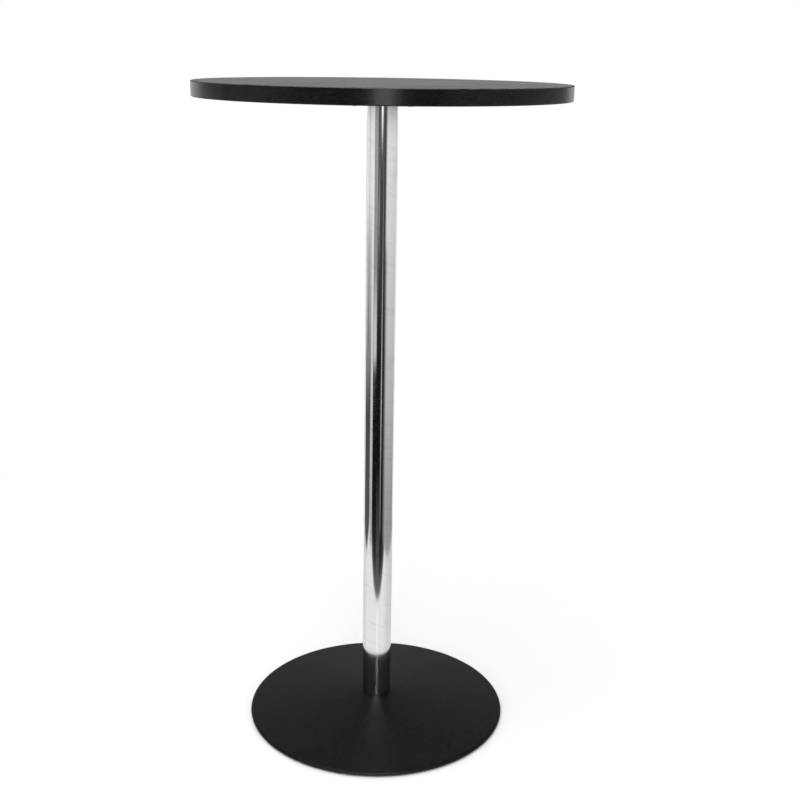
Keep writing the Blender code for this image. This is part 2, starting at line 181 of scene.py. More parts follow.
# one mesh from grids of points: neighbours become four-sided faces, each grid is closed across its columns
# and, where asked, along its rows; u counts turns across columns and v is the run along rows in metres
def meshPatches(name, patches):
    points, faces, uvs, start = [], [], [], 0
    for grid, rowsClosed in patches:
        rows, columns = grid.shape[:2]
        i, j = np.meshgrid(np.arange(rows if rowsClosed else rows - 1), np.arange(columns), indexing="ij")
        up, along = (i + 1) % rows, (j + 1) % columns
        corners = [i * columns + j, i * columns + along, up * columns + along, up * columns + j]
        faces.append(np.stack(corners, axis=-1).reshape(-1, 4) + start)
        steps = np.linalg.norm(np.roll(grid, -1, axis=0) - grid, axis=-1).max(axis=1)
        run = np.concatenate([[0], np.cumsum(steps)])
        left, right = j / columns, (j + 1) / columns
        places = [left, run[i], right, run[i], right, run[i + 1], left, run[i + 1]]
        uvs.append(np.stack(places, axis=-1).reshape(-1, 4, 2))
        points.append(grid.reshape(-1, 3))
        start += rows * columns
    mesh = bpy.data.meshes.new(name)
    mesh.from_pydata(np.vstack(points).tolist(), [], np.vstack(faces).tolist())
    mesh.uv_layers.new(name="run").data.foreach_set("uv", np.vstack(uvs).ravel())
    shape = bmesh.new()
    shape.from_mesh(mesh)
    bmesh.ops.remove_doubles(shape, verts=shape.verts, dist=meshing["merge"])
    bmesh.ops.recalc_face_normals(shape, faces=shape.faces)
    shape.to_mesh(mesh)
    shape.free()
    mesh.shade_smooth()
    mesh.set_sharp_from_angle(angle=meshing["sharp"])
    return mesh


# a finished piece stands for its node, rides on that node's body and takes its slot's finish
def addPiece(name, node, patches):
    piece = bpy.data.objects.new(name, meshPatches(name, patches))
    bpy.context.scene.collection.objects.link(piece)
    piece.data.materials.append(finishes[slotOf[node]])
    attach(piece, bodyOf[node])
    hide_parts(node)


# one socket of a node tree, so that shader maths reads as plain expressions
class Wire:
    def __init__(self, board, socket):
        self.board = board
        self.socket = socket

    def maths(self, operation, *values):
        return self.board.node("Math", {"operation": operation}, dict(enumerate(values)))

    def __add__(self, other):
        return self.maths("ADD", self, other)

    def __radd__(self, other):
        return self.maths("ADD", other, self)

    def __sub__(self, other):
        return self.maths("SUBTRACT", self, other)

    def __rsub__(self, other):
        return self.maths("SUBTRACT", other, self)

    def __mul__(self, other):
        return self.maths("MULTIPLY", self, other)

    def __rmul__(self, other):
        return self.maths("MULTIPLY", other, self)

    def __truediv__(self, other):
        return self.maths("DIVIDE", self, other)

    def __rtruediv__(self, other):
        return self.maths("DIVIDE", other, self)

    def __pow__(self, other):
        return self.maths("POWER", self, other)

    def __rpow__(self, other):
        return self.maths("POWER", other, self)


# a node tree that nodes are added to, each with its settings first and then its inputs
class Board:
    def __init__(self, tree):
        self.tree = tree

    def node(self, kind, settings=None, inputs=None, out=0):
        made = self.tree.nodes.new("ShaderNode" + kind)
        for key, value in (settings or {}).items():
            if key == "stops":
                self.setStops(made.color_ramp.elements, value)
            else:
                setattr(made, key, value)
        for key, value in (inputs or {}).items():
            if isinstance(value, Wire):
                self.tree.links.new(value.socket, made.inputs[key])
            else:
                made.inputs[key].default_value = value
        return Wire(self, made.outputs[out]) if len(made.outputs) else made

    # a ramp's stops: its first one stays and is moved, the others are added
    def setStops(self, elements, stops):
        while len(elements) > 1:
            elements.remove(elements[-1])
        for number, (position, bright) in enumerate(stops):
            stop = elements.new(position) if number else elements[0]
            stop.position, stop.color = position, grey(bright)

    def place(self, kind="Object"):
        return self.node("TexCoord", out=kind)

    def parts(self, where):
        split = self.node("SeparateXYZ", inputs={"Vector": where}).socket.node
        return [Wire(self, socket) for socket in split.outputs]

    def stretch(self, where, scale):
        return self.node("Mapping", inputs={"Vector": where, "Scale": scale})

    # soft cloud, from 0 to 1, whose lumps are about one over the scale in metres
    def cloud(self, where, scale, detail=2.0, roughness=0.5):
        settings = {"Vector": where, "Scale": scale, "Detail": detail, "Roughness": roughness}
        return self.node("TexNoise", inputs=settings, out="Fac")

    # the same cloud with a scale of its own along each axis
    def streaks(self, where, scale, detail=2.0, roughness=0.5):
        return self.cloud(self.stretch(where, scale), 1.0, detail, roughness)

    # distance to the middle of the nearest cell, to the edge of the cell, or the cell's own random colour
    def cells(self, where, scale, out="Distance", feature="F1"):
        return self.node("TexVoronoi", {"feature": feature}, {"Vector": where, "Scale": scale}, out)

    # 0 up to the first value, 1 from the second and a soft step between; the first may be the larger
    def ramp(self, value, first, second):
        limits = {"Value": value, "From Min": first, "From Max": second}
        return self.node("MapRange", {"interpolation_type": "SMOOTHSTEP"}, limits)

    def mix(self, share, first, second):
        return self.node("Mix", {"data_type": "RGBA"}, {0: share, 6: first, 7: second}, out=2)

    # from a finish's own colour to its pale one
    def tones(self, share, finish):
        return self.mix(share, grey(finish["colour"]), grey(finish["pale"]))

    # a finish's roughness, spread to both sides by a cloud
    def uneven(self, cloud, finish):
        return finish["rough"] + (cloud - 0.5) * finish["spread"]

    def bump(self, height, distance):
        return self.node("Bump", inputs={"Height": height, "Distance": distance, "Strength": 1.0})


def grey(value, warmth=0.0):
    return (value * (1 + warmth), value, value * (1 - warmth), 1.0)


# the emptied node tree of a new material or world
def clearBoard(owner):
    owner.use_nodes = True
    owner.node_tree.nodes.clear()
    return Board(owner.node_tree)


# a new material: paint is given the board and returns the Principled shader's inputs
def makeFinish(name, paint):
    material = bpy.data.materials.new(name)
    board = clearBoard(material)
    shader = board.node("BsdfPrincipled", inputs=paint(board))
    board.node("OutputMaterial", inputs={"Surface": shader})
    return material


laminate = {"colour": 0.015, "pale": 0.025, "grainShare": 0.6, "patchShare": 0.4, "pebble": 2400.0,
            "grain": 900.0, "patch": 9.0, "wipe": (14.0, 160.0, 1.0), "wiped": (0.56, 0.72),
            "rough": 0.17, "spread": 0.04, "wipeGloss": 0.03, "relief": 0.000004, "grainRelief": 0.5}


# pebbled black film: small rounded cells, cloudy gloss and a few faint wipe marks
def paintLaminate(board):
    where = board.place()
    pebbles = board.cells(where, laminate["pebble"], feature="SMOOTH_F1")
    patches = board.cloud(where, laminate["patch"], detail=4.0)
    grain = board.cloud(where, laminate["grain"], detail=3.0)
    wipes = board.ramp(board.streaks(where, laminate["wipe"], detail=5.0), *laminate["wiped"])
    tone = grain * laminate["grainShare"] + patches * laminate["patchShare"]
    return {
        "Base Color": board.tones(tone, laminate),
        "Roughness": board.uneven(patches, laminate) - wipes * laminate["wipeGloss"],
        "Normal": board.bump(pebbles + grain * laminate["grainRelief"], laminate["relief"]),
    }


# the corners' pale colour is part wear and part painted highlight; the upper corner is painted paler than the
# lower one
edging = {"colour": 0.0008, "pale": 0.0075, "wearAndPaintedSheen": 0.14, "wearAndSheenShare": 0.7, "lowerCornerShare": 0.3,
          "peel": (170.0, 170.0, 620.0), "milling": (30.0, 30.0, 5200.0), "blotch": 55.0, "corner": 0.0018,
          "patchy": (0.2, 0.5), "peelShare": 0.8, "lineShare": 0.2, "mottle": (0.41, 0.59), "rough": 0.25,
          "spread": 0.06, "matt": 0.25, "specular": 0.30, "relief": 0.000006, "peelRelief": 3.0,
          "lineRelief": 0.5}


# satin edge band: a low ripple drawn out along it, fine lines left by the trimmer, and matt corners that are
# paler from wear and from a painted highlight, strongest on the upper corner
def paintEdging(board):
    where = board.place()
    height = board.parts(where)[2]
    peel = board.streaks(where, edging["peel"], detail=3.0)
    lines = board.streaks(where, edging["milling"], detail=3.0)
    blotches = board.cloud(where, edging["blotch"], detail=4.0)
    low, high = span("edge_band")[2:]
    lower = board.ramp(height, low + edging["corner"], low)
    upper = board.ramp(height, high - edging["corner"], high)
    # pale corners in blotches: part wear, part a painted highlight along the upper corner, which the lower
    # corner has only in part
    wearAndPaintedSheen = (upper + lower * edging["lowerCornerShare"]) * board.ramp(blotches, *edging["patchy"])
    mottle = board.ramp(peel * edging["peelShare"] + lines * edging["lineShare"], *edging["mottle"])
    tone = board.tones(mottle, edging)
    return {
        "Base Color": board.mix(wearAndPaintedSheen * edging["wearAndSheenShare"], tone, grey(edging["wearAndPaintedSheen"])),
        "Roughness": board.uneven(lines + blotches - 0.5, edging) + (upper + lower) * edging["matt"],
        "Specular IOR Level": edging["specular"],
        "Normal": board.bump(peel * edging["peelRelief"] + lines * edging["lineRelief"], edging["relief"]),
    }


chrome = {"colour": 0.82, "dusty": 0.71, "warmth": 0.004, "smudge": (24.0, 24.0, 9.0), "smudged": (0.55, 0.8),
          "wipe": (0.05, 0.05, 0.008), "slant": 0.45, "wiped": (0.52, 0.75), "wipeShare": 0.6, "rough": 0.085,
          "smudgeRough": 0.06, "hairline": (2600.0, 2600.0, 8.0), "relief": 0.0000004}


# bright plate: almost a mirror, with hairlines along the tube from polishing, smudges and slanted wipe marks
def paintChrome(board):
    where = board.place()
    hairlines = board.streaks(where, chrome["hairline"])
    breath = board.streaks(where, chrome["smudge"], detail=5.0, roughness=0.6)
    smudges = board.ramp(breath, *chrome["smudged"])
    slanted = board.node("Mapping", {"vector_type": "TEXTURE"},
                         {"Vector": where, "Rotation": (0, chrome["slant"], 0), "Scale": chrome["wipe"]})
    wipes = board.ramp(board.cloud(slanted, 1.0), *chrome["wiped"])
    bright, dusty = grey(chrome["colour"], -chrome["warmth"]), grey(chrome["dusty"], chrome["warmth"])
    return {
        "Base Color": board.mix(smudges + wipes * chrome["wipeShare"], bright, dusty),
        "Metallic": 1.0,
        "Roughness": chrome["rough"] + smudges * chrome["smudgeRough"],
        "Normal": board.bump(hairlines, chrome["relief"]),
    }


coat = {"colour": 0.0004, "pale": 0.007, "grain": 800.0, "peel": 210.0, "patch": 14.0, "peelShare": 0.85,
        "patchShare": 0.15, "mottle": (0.44, 0.56), "speck": 0.14, "speckCell": 170.0,
        "speckEdge": (0.10, 0.06), "speckChance": (0.93, 0.95), "rough": 0.42, "spread": 0.1,
        "speckRough": 0.2, "relief": 0.00006, "peelRelief": 4.0}


# fine-textured powder coat: rounded grains of about a millimetre, uneven gloss and scattered pale specks
def paintCoat(board):
    where = board.place()
    grains = board.cells(where, coat["grain"], feature="SMOOTH_F1")
    peel = board.cloud(where, coat["peel"], detail=4.0, roughness=0.65)
    patches = board.cloud(where, coat["patch"], detail=3.0)
    dots = board.ramp(board.cells(where, coat["speckCell"]), *coat["speckEdge"])
    chosen = board.ramp(board.parts(board.cells(where, coat["speckCell"], "Color"))[0], *coat["speckChance"])
    specks = dots * chosen
    mottle = board.ramp(peel * coat["peelShare"] + patches * coat["patchShare"], *coat["mottle"])
    tone = board.tones(mottle, coat)
    return {
        "Base Color": board.mix(specks, tone, grey(coat["speck"])),
        "Roughness": board.uneven(patches, coat) + specks * coat["speckRough"],
        "Normal": board.bump(grains + peel * coat["peelRelief"], coat["relief"]),
    }


iron = {"colour": 0.035, "pale": 0.075, "warmth": 0.02, "rust": (0.11, 0.045, 0.018, 1.0), "rustShare": 0.7,
        "sand": 900.0, "pit": 260.0, "pitEdge": (0.18, 0.05), "patch": 26.0, "rustPatch": (0.6, 0.75),
        "rustSand": (0.45, 0.6), "rough": 0.62, "spread": 0.25, "rustRough": 0.2, "relief": 0.00025,
        "pitRelief": 0.8}


# sand-cast iron under thin primer: coarse sand grain, pits and a little rust
def paintIron(board):
    where = board.place()
    sand = board.cloud(where, iron["sand"], detail=4.0, roughness=0.65)
    pits = board.ramp(board.cells(where, iron["pit"]), *iron["pitEdge"])
    patches = board.cloud(where, iron["patch"], detail=5.0)
    rusty = board.ramp(patches, *iron["rustPatch"]) * board.ramp(sand, *iron["rustSand"])
    tone = board.mix(sand, grey(iron["colour"]), grey(iron["pale"], iron["warmth"]))
    return {
        "Base Color": board.mix(rusty * iron["rustShare"], tone, iron["rust"]),
        "Roughness": board.uneven(patches, iron) + rusty * iron["rustRough"],
        "Normal": board.bump(sand - pits * iron["pitRelief"], iron["relief"]),
    }


zinc = {"colour": (0.60, 0.61, 0.62, 1.0), "stain": (0.56, 0.54, 0.47, 1.0), "mark": (120.0, 120.0, 4200.0),
        "bloom": 160.0, "stained": (0.42, 0.7), "crystal": 1900.0, "rough": 0.26, "spread": 0.3,
        "crystalRough": 0.06, "relief": 0.000008, "crystalRelief": 0.4}


# zinc plate: dull bright metal with tool marks round it and slightly straw-coloured stains
def paintZinc(board):
    where = board.place()
    marks = board.streaks(where, zinc["mark"])
    bloom = board.cloud(where, zinc["bloom"], detail=5.0, roughness=0.6)
    crystals = board.cells(where, zinc["crystal"])
    return {
        "Base Color": board.mix(board.ramp(bloom, *zinc["stained"]), zinc["colour"], zinc["stain"]),
        "Metallic": 1.0,
        "Roughness": board.uneven(bloom, zinc) + crystals * zinc["crystalRough"],
        "Normal": board.bump(marks + crystals * zinc["crystalRelief"], zinc["relief"]),
    }


chips = {"pale": (0.47, 0.33, 0.19, 1.0), "dark": (0.19, 0.11, 0.055, 1.0), "flatten": (1.0, 1.0, 2.6),
         "chip": 320.0, "fibre": (1500.0, 300.0, 900.0), "flakeShare": 0.7, "fibreShare": 0.3,
         "gap": (0.07, 0.0), "gapShare": 0.6, "rough": 0.82, "spread": 0.2, "relief": 0.00015}


# chipboard: flat flakes a few millimetres long, each with its own brown, and dark glue gaps between them
def paintChipboard(board):
    where = board.stretch(board.place(), chips["flatten"])
    flakes = board.parts(board.cells(where, chips["chip"], "Color"))[0]
    gaps = board.ramp(board.cells(where, chips["chip"], feature="DISTANCE_TO_EDGE"), *chips["gap"])
    fibre = board.streaks(where, chips["fibre"], detail=4.0)
    shade = flakes * chips["flakeShare"] + fibre * chips["fibreShare"]
    tone = board.mix(shade, chips["pale"], chips["dark"])
    return {
        "Base Color": board.mix(gaps * chips["gapShare"], tone, chips["dark"]),
        "Roughness": board.uneven(fibre, chips),
        "Normal": board.bump((flakes + fibre) / 2 - gaps, chips["relief"]),
    }


nylon = {"colour": 0.012, "pale": 0.022, "grain": 1600.0, "grainShare": 0.5, "scuff": (60.0, 900.0, 60.0),
         "scuffed": (0.55, 0.7), "sole": 0.0006, "rough": 0.46, "spread": 0.12, "scuffRough": 0.2,
         "relief": 0.00002}


# moulded nylon: a spark-eroded grain, with scuffs on the face that slides on the floor
def paintNylon(board):
    where = board.place()
    grain = board.cloud(where, nylon["grain"], detail=3.0)
    sole = board.ramp(board.parts(where)[2], nylon["sole"], 0.0)
    scuffs = board.ramp(board.streaks(where, nylon["scuff"], detail=3.0), *nylon["scuffed"]) * sole
    tone = grain * nylon["grainShare"] + scuffs
    return {
        "Base Color": board.tones(tone, nylon),
        "Roughness": board.uneven(grain, nylon) + scuffs * nylon["scuffRough"],
        "Normal": board.bump(grain, nylon["relief"]),
    }


finishes = {
    "black_laminate": makeFinish("blackLaminate", paintLaminate),
    "black_edging": makeFinish("blackEdging", paintEdging),
    "chipboard": makeFinish("chipboard", paintChipboard),
    "chrome": makeFinish("chrome", paintChrome),
    "black_powder_coat": makeFinish("blackPowderCoat", paintCoat),
    "cast_iron": makeFinish("castIron", paintIron),
    "zinc_plated_steel": makeFinish("zincPlate", paintZinc),
    "black_nylon": makeFinish("blackNylon", paintNylon),
}
print("finishes:", len(finishes))


top = {"around": 432, "roundSteps": 8, "easedEdge": 0.00025, "bandRounding": 0.0015, "bandInner": 0.0001,
       "bandThickness": 0.0020, "insertHole": 0.0053, "holeChamfer": 0.0002, "backerEdge": 0.0001,
       "coreEdge": 0.0002}
seam = {"angle": math.radians(128), "width": 0.0006, "depth": 0.00012, "reach": 1.5, "steps": 24, "sharp": 3}
fixings = {"count": 6, "first": 0.0, "circle": span("plate_bolt_1")[0].x}


# flat disc with eased edges, turned from the axis outwards and back
def addTopFace():
    _, radius, low, high = span("top_laminate")
    eased = top["easedEdge"]
    corners = [(0, low, 0), (radius, low, eased / 2), (radius, high, eased), (0, high, 0)]
    outline = roundOutline(corners, top["roundSteps"])
    addPiece("topFace", "top_laminate", [(turn(outline, evenAngles(top["around"])), False)])


# rounded band, turned; its radius dips in a narrow notch, a bell curve, where the two ends of the band meet
def addEdgeBand():
    _, radius, low, high = span("edge_band")
    inner = radius - top["bandThickness"]
    outline = roundOutline([
        (inner, low, top["bandInner"]), (radius, low, top["bandRounding"]),
        (radius, high, top["bandRounding"]), (inner, high, top["bandInner"]),
    ], top["roundSteps"])
    notch = seam["width"] / radius
    across = notch * np.linspace(-seam["reach"], seam["reach"], seam["steps"] + 1)
    angles = np.unique(np.concatenate([evenAngles(top["around"]), seam["angle"] + across]))
    dip = np.exp(-((angles - seam["angle"]) / notch * seam["sharp"]) ** 2)
    outside = (outline[:, :1] - inner) / top["bandThickness"]
    grow = 1 - seam["depth"] / radius * outside * dip
    addPiece("edgeBand", "edge_band", [(turn(outline, angles, grow=grow), True)])


# board, film or plate drilled on the fixings' circle: a drilled sheet with its rims turned to match
def addDrilledDisc(name, node, eased, inner=0.0, hole=top["insertHole"]):
    _, radius, low, high = span(node)
    holes = fixings | {"radius": hole, "chamfer": top["holeChamfer"]}
    room = eased * (1 + meshing["support"])
    flatEdge = radius - room
    flatInner = inner + room if inner else 0.0
    patches, angles = drilledSheet(flatInner, flatEdge, holes, level(low), level(high))
    rims = [[(flatEdge, low, 0), (radius, low, eased), (radius, high, eased), (flatEdge, high, 0)]]
    if inner:
        rims.append([(flatInner, high, 0), (inner, high, eased), (inner, low, eased), (flatInner, low, 0)])
    patches += [(turn(roundOutline(rim), angles), False) for rim in rims]
    addPiece(name, node, patches)


addTopFace()
addEdgeBand()
addDrilledDisc("backerFilm", "top_backer", top["backerEdge"])
addDrilledDisc("chipboardCore", "top_core", top["coreEdge"])
print("top: face, band, backer and core")


head = {"plateEdge": 0.0006, "plateBore": 0.0123, "boltHole": 0.0035, "washerBore": 0.0035,
        "washerRounding": 0.0002, "around": 64}


# washer or tube: a rounded rectangle turned round its own middle
def addRing(name, node, bore, rounding, around=head["around"]):
    middle, radius, low, high = span(node)
    outline = ringSection(bore, radius, low, high, rounding)
    addPiece(name, node, [(turn(outline, evenAngles(around), middle), True)])


bolt = {"headHeight": 0.0033, "headRadius": 0.00525, "rim": 0.0007, "rimRounding": 0.0002, "crown": 0.0032,
        "domeSteps": 8, "flats": 0.0040, "socketDepth": 0.0018, "socketChamfer": 0.0002, "neck": 0.0002,
        "runOut": 0.0006, "pitch": 0.0010, "threadDepth": 0.0005, "tip": 0.0008, "around": 48}


# button-head bolt, turned from the bottom of its socket: the socket's points lie on a hexagon, the head's
# edge is an arc from its crown to its rim, and the shank's radius follows a screw thread
def addBolt(name, node):
    middle, _, low, high = span(node)
    seat, end = low + bolt["headHeight"], high - bolt["tip"]
    shank = span("glide_stem_1")[1]        # bolts and glides have the same thread
    flat, floor, chamfer = bolt["flats"] / 2, low + bolt["socketDepth"], bolt["socketChamfer"]
    socket = np.array([(0, floor), (flat, floor), (flat, low + chamfer), (flat + chamfer, low)])
    crown, wide, rim = bolt["crown"], bolt["headRadius"], seat - bolt["rim"]
    sweep = np.linspace(0, math.pi / 2, bolt["domeSteps"] + 1)
    dome = np.stack([crown + (wide - crown) * np.sin(sweep), low + (rim - low) * (1 - np.cos(sweep))], -1)
    corners = [(0, seat, 0), (wide, rim, 0), (wide, seat, bolt["rimRounding"]), (shank, seat, 0)]
    under = roundOutline(corners)[2:]
    thread = threadRun(shank, seat + bolt["neck"], end, bolt["pitch"])
    outline = np.vstack([socket, dome, under, thread, [(shank - bolt["tip"], high), (0, high)]])
    angles = evenAngles(bolt["around"])
    grow = threadGrow(outline, angles, seat + bolt["runOut"], end, bolt)
    grow[:len(socket) + len(dome) + len(under)] = 1
    grow[:len(socket)] = hexagon(angles)
    addPiece(name, node, [(turn(outline, angles, middle, grow), False)])


insert = {"bore": 0.0033, "eased": 0.0003, "pitch": 0.0026, "threadDepth": 0.0009, "threadSteps": 16}


# screw-in insert: a coarse thread outside and a plain bore inside, turned as one closed outline
def addInsert(name, node):
    middle, radius, low, high = span(node)
    bore, eased = insert["bore"], insert["eased"]
    outside = threadRun(radius, low + eased, high - eased, insert["pitch"], insert["threadSteps"])
    inside = np.array([(radius - eased, high), (bore + eased, high), (bore, high - eased),
                       (bore, low + eased), (bore + eased, low), (radius - eased, low)])
    outline = np.vstack([outside, inside])
    angles = evenAngles(head["around"])
    grow = threadGrow(outline, angles, low + eased, high - eased, insert)
    grow[len(outside):] = 1
    addPiece(name, node, [(turn(outline, angles, middle, grow), True)])


spigot = {"headPilot": 0.0120, "headShoulder": 0.0350, "footPilot": 0.0150, "rodBore": 0.0053,
          "rodHoleDepth": 0.0260, "chamfer": 0.0010, "eased": 0.0003, "around": 128}


# head plug: a collar that fits the column, a stub welded into the plate and a blind hole for the rod, turned
def addHeadSpigot():
    _, radius, low, high = span("head_spigot")
    bore, pilot, chamfer, eased = [spigot[name] for name in ("rodBore", "headPilot", "chamfer", "eased")]
    shoulder, floor = low + spigot["headShoulder"], low + spigot["rodHoleDepth"]
    outline = roundOutline([
        (0, floor, 0), (bore, floor, eased), (bore, low, eased), (radius - chamfer, low, eased),
        (radius, low + chamfer, eased), (radius, shoulder, eased), (pilot, shoulder, eased),
        (pilot, high, eased), (0, high, 0),
    ])
    addPiece("headSpigot", "head_spigot", [(turn(outline, evenAngles(spigot["around"])), False)])


addDrilledDisc("headPlate", "head_plate", head["plateEdge"], head["plateBore"], head["boltHole"])
addHeadSpigot()
for number in range(1, fixings["count"] + 1):
    addBolt(f"buttonBolt{number}", f"plate_bolt_{number}")
    addRing(f"plateWasher{number}", f"plate_washer_{number}", head["washerBore"], head["washerRounding"])
    addInsert(f"insertNut{number}", f"insert_nut_{number}")
print("head: plate, spigot, bolts, washers and inserts")


column = {"wall": 0.0015, "eased": 0.0003, "around": 360}
rod = {"pitch": 0.0015, "threadDepth": 0.0008, "threadLength": 0.060, "tip": 0.0010, "around": 32,
       "washerRounding": 0.0003}


# tie rod: a turned bar whose radius follows a screw thread near both ends
def addTieRod():
    _, radius, low, high = span("tie_rod")
    first, last = low + rod["tip"], high - rod["tip"]
    lowerEnd, upperStart = low + rod["threadLength"], high - rod["threadLength"]
    lower = threadRun(radius, first, lowerEnd, rod["pitch"])
    upper = threadRun(radius, upperStart, last, rod["pitch"])
    blunt = radius - rod["tip"]
    outline = np.vstack([[(0, low), (blunt, low)], lower, upper, [(blunt, high), (0, high)]])
    angles = evenAngles(rod["around"])
    half = 2 + len(lower)
    grow = np.vstack([threadGrow(outline[:half], angles, first - rod["pitch"], lowerEnd, rod),
                      threadGrow(outline[half:], angles, upperStart, last + rod["pitch"], rod)])
    grow[:2], grow[-2:] = 1, 1
    addPiece("tieRod", "tie_rod", [(turn(outline, angles, grow=grow), False)])


columnBore = span("column_tube")[1] - column["wall"]
addRing("chromeColumn", "column_tube", columnBore, column["eased"], column["around"])
addTieRod()
print("column: tube and tie rod")


cover = {"sheet": 0.0020, "bore": 0.0153, "seatRadius": 0.0260, "seatRounding": 0.0080, "rimRounding": 0.0040,
         "rimLip": 0.0005, "eased": 0.0004, "around": 480, "coneRings": 40, "bendRings": 9, "rimSteps": 14,
         "innerSteps": 10}
_, coverRadius, coverLow, coverHigh = span("base_cover")
rimMiddle = np.array((coverRadius - cover["rimRounding"], coverLow + cover["rimLip"]))
toRim = rimMiddle - np.array((cover["seatRadius"], coverHigh))
coneSlope = math.atan2(toRim[1], toRim[0]) + math.asin(cover["rimRounding"] / np.linalg.norm(toRim))


# cover's face, or one a given depth under it: a flat seat, a bend where the slope grows evenly, then a cone
def coverFace(far, depth):
    x = (far - cover["seatRadius"]) / cover["seatRounding"]
    eased = np.where(x < -0.5, 0, np.where(x > 0.5, x, (x + 0.5) ** 2 / 2))
    return coverHigh - depth + cover["seatRounding"] * eased * math.tan(coneSlope)


# pressed cover: flat seat, straight cone and rolled rim, then back along the sheet's inner side, turned as
# one closed outline
def addCover():
    sheet, bore, roll, eased = [cover[name] for name in ("sheet", "bore", "rimRounding", "eased")]
    tilt = 90 + math.degrees(coneSlope)
    coneEnd = rimMiddle[0] + roll * math.cos(math.radians(tilt))
    seatEnd, coneStart = [cover["seatRadius"] + side * cover["seatRounding"] / 2 for side in (-1, 1)]
    far = np.unique(np.concatenate([np.linspace(bore + eased, coneEnd, cover["coneRings"]),
                                    np.linspace(seatEnd, coneStart, cover["bendRings"])]))
    outside = np.stack([far, coverFace(far, 0)], axis=-1)
    rim = arcPoints(rimMiddle, roll, tilt, 0, cover["rimSteps"])
    hem = roundOutline([(coverRadius, rimMiddle[1], 0), (coverRadius, coverLow, eased),
                        (coverRadius - sheet, coverLow, eased), (coverRadius - sheet, rimMiddle[1], 0)])[1:-1]
    innerRim = arcPoints(rimMiddle, roll - sheet, 0, tilt, cover["innerSteps"])
    back = far[far < innerRim[-1, 0]][::-1]
    inside = np.stack([back, coverFace(back, sheet / math.cos(coneSlope))], axis=-1)
    inside[back < seatEnd, 1] = coverHigh - sheet
    lip = np.array([(bore, coverHigh - sheet + eased), (bore, coverHigh - eased)])
    outline = np.vstack([outside, rim[1:], hem, innerRim, inside, lip])
    addPiece("coneCover", "base_cover", [(turn(outline, evenAngles(cover["around"])), True)])


ballast = {"seatGap": 0.0003, "hubRadius": 0.0300, "pilot": 0.0153, "pilotDepth": 0.0030, "boreEdge": 0.0003,
           "web": 0.0080, "recess": 0.0180, "recessEdge": 0.0008, "stemHole": 0.0033, "holeChamfer": 0.0003,
           "rimRounding": 0.0008, "rimRoom": 0.0012, "rows": 12}


# ballast's upper face: it follows the cone at a fixed depth, flat under the seat and then an even slope
def underCover(far):
    depth = cover["sheet"] + ballast["seatGap"]
    start = cover["seatRadius"] + depth * math.tan(coneSlope / 2)
    return coverHigh - depth + np.minimum(0, (far - start) * math.tan(coneSlope))


# cast weight: a drilled sheet under the cone, its outer edge turned, and a hub turned from the seat to the
# nut's recess
def addBallast():
    _, radius, low, high = span("ballast")
    stem = span("glide_stem_1")[0]
    holes = {"count": glide["count"], "first": math.atan2(stem.y, stem.x),
             "circle": math.hypot(stem.x, stem.y), "radius": ballast["stemHole"],
             "chamfer": ballast["holeChamfer"]}
    hub, pilot, recess = ballast["hubRadius"], ballast["pilot"], ballast["recess"]
    eased, boreEdge, recessEdge = ballast["rimRounding"], ballast["boreEdge"], ballast["recessEdge"]
    flatEdge = radius - ballast["rimRoom"]
    patches, angles = drilledSheet(hub, flatEdge, holes, level(low), underCover, ballast["rows"])
    rim = roundOutline([(flatEdge, low, 0), (radius, low, eased), (radius, underCover(radius), eased),
                        (flatEdge, underCover(flatEdge), 0)])
    bore, roof, floor = spigot["rodBore"], high - ballast["web"], high - ballast["pilotDepth"]
    inside = roundOutline([
        (hub, underCover(hub), 0), (cover["seatRadius"], high, 0), (pilot, high, boreEdge),
        (pilot, floor, boreEdge), (bore, floor, boreEdge), (bore, roof, boreEdge),
        (recess, roof, recessEdge), (recess, low, recessEdge), (hub, low, 0),
    ])
    patches += [(turn(rim, angles), False), (turn(inside, angles), False)]
    addPiece("ironBallast", "ballast", patches)


# foot plug: a stub through the cover, a collar inside the column and a bore for the rod, turned
def addFootSpigot():
    _, radius, low, high = span("foot_spigot")
    bore, pilot, chamfer, eased = [spigot[name] for name in ("rodBore", "footPilot", "chamfer", "eased")]
    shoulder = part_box("column_tube")[0].z
    outline = roundOutline([
        (bore, low, eased), (pilot, low, eased), (pilot, shoulder, eased), (radius, shoulder, eased),
        (radius, high - chamfer, eased), (radius - chamfer, high, eased), (bore, high, eased),
    ])
    addPiece("footSpigot", "foot_spigot", [(turn(outline, evenAngles(spigot["around"])), True)])


nut = {"flats": 0.0160, "chamfer": math.radians(30), "coneShare": 0.97, "boreChamfer": 0.0006, "around": 96,
       "rings": 13}


# hexagon nut: each point takes the hexagon's distance or that of a shallow cone at either end, the lesser
def addRodNut():
    _, _, low, high = span("rod_nut")
    angles = evenAngles(nut["around"])
    flat, bore, eased = nut["flats"] / 2, spigot["rodBore"], nut["boreChamfer"]
    cone = flat * nut["coneShare"]
    drop = (flat * 2 / math.sqrt(3) - cone) * math.tan(nut["chamfer"])
    below = np.linspace(low, low + drop, nut["rings"])
    side = np.concatenate([below, (low + high) - below[::-1]])
    coned = cone + np.minimum(side - low, high - side) / math.tan(nut["chamfer"])
    outline = np.vstack([
        [(bore, low + eased), (bore + eased, low)], np.stack([np.full(len(side), flat), side], axis=-1),
        [(bore + eased, high), (bore, high - eased)],
    ])
    grow = np.ones((len(outline), len(angles)))
    grow[2:-2] = np.minimum(hexagon(angles)[None], coned[:, None] / flat)
    addPiece("rodNut", "rod_nut", [(turn(outline, angles, grow=grow), True)])


spring = {"bore": 0.0053, "split": 0.0016, "lead": 0.0004, "rounding": 0.0002, "roundSteps": 3,
          "stations": 72}


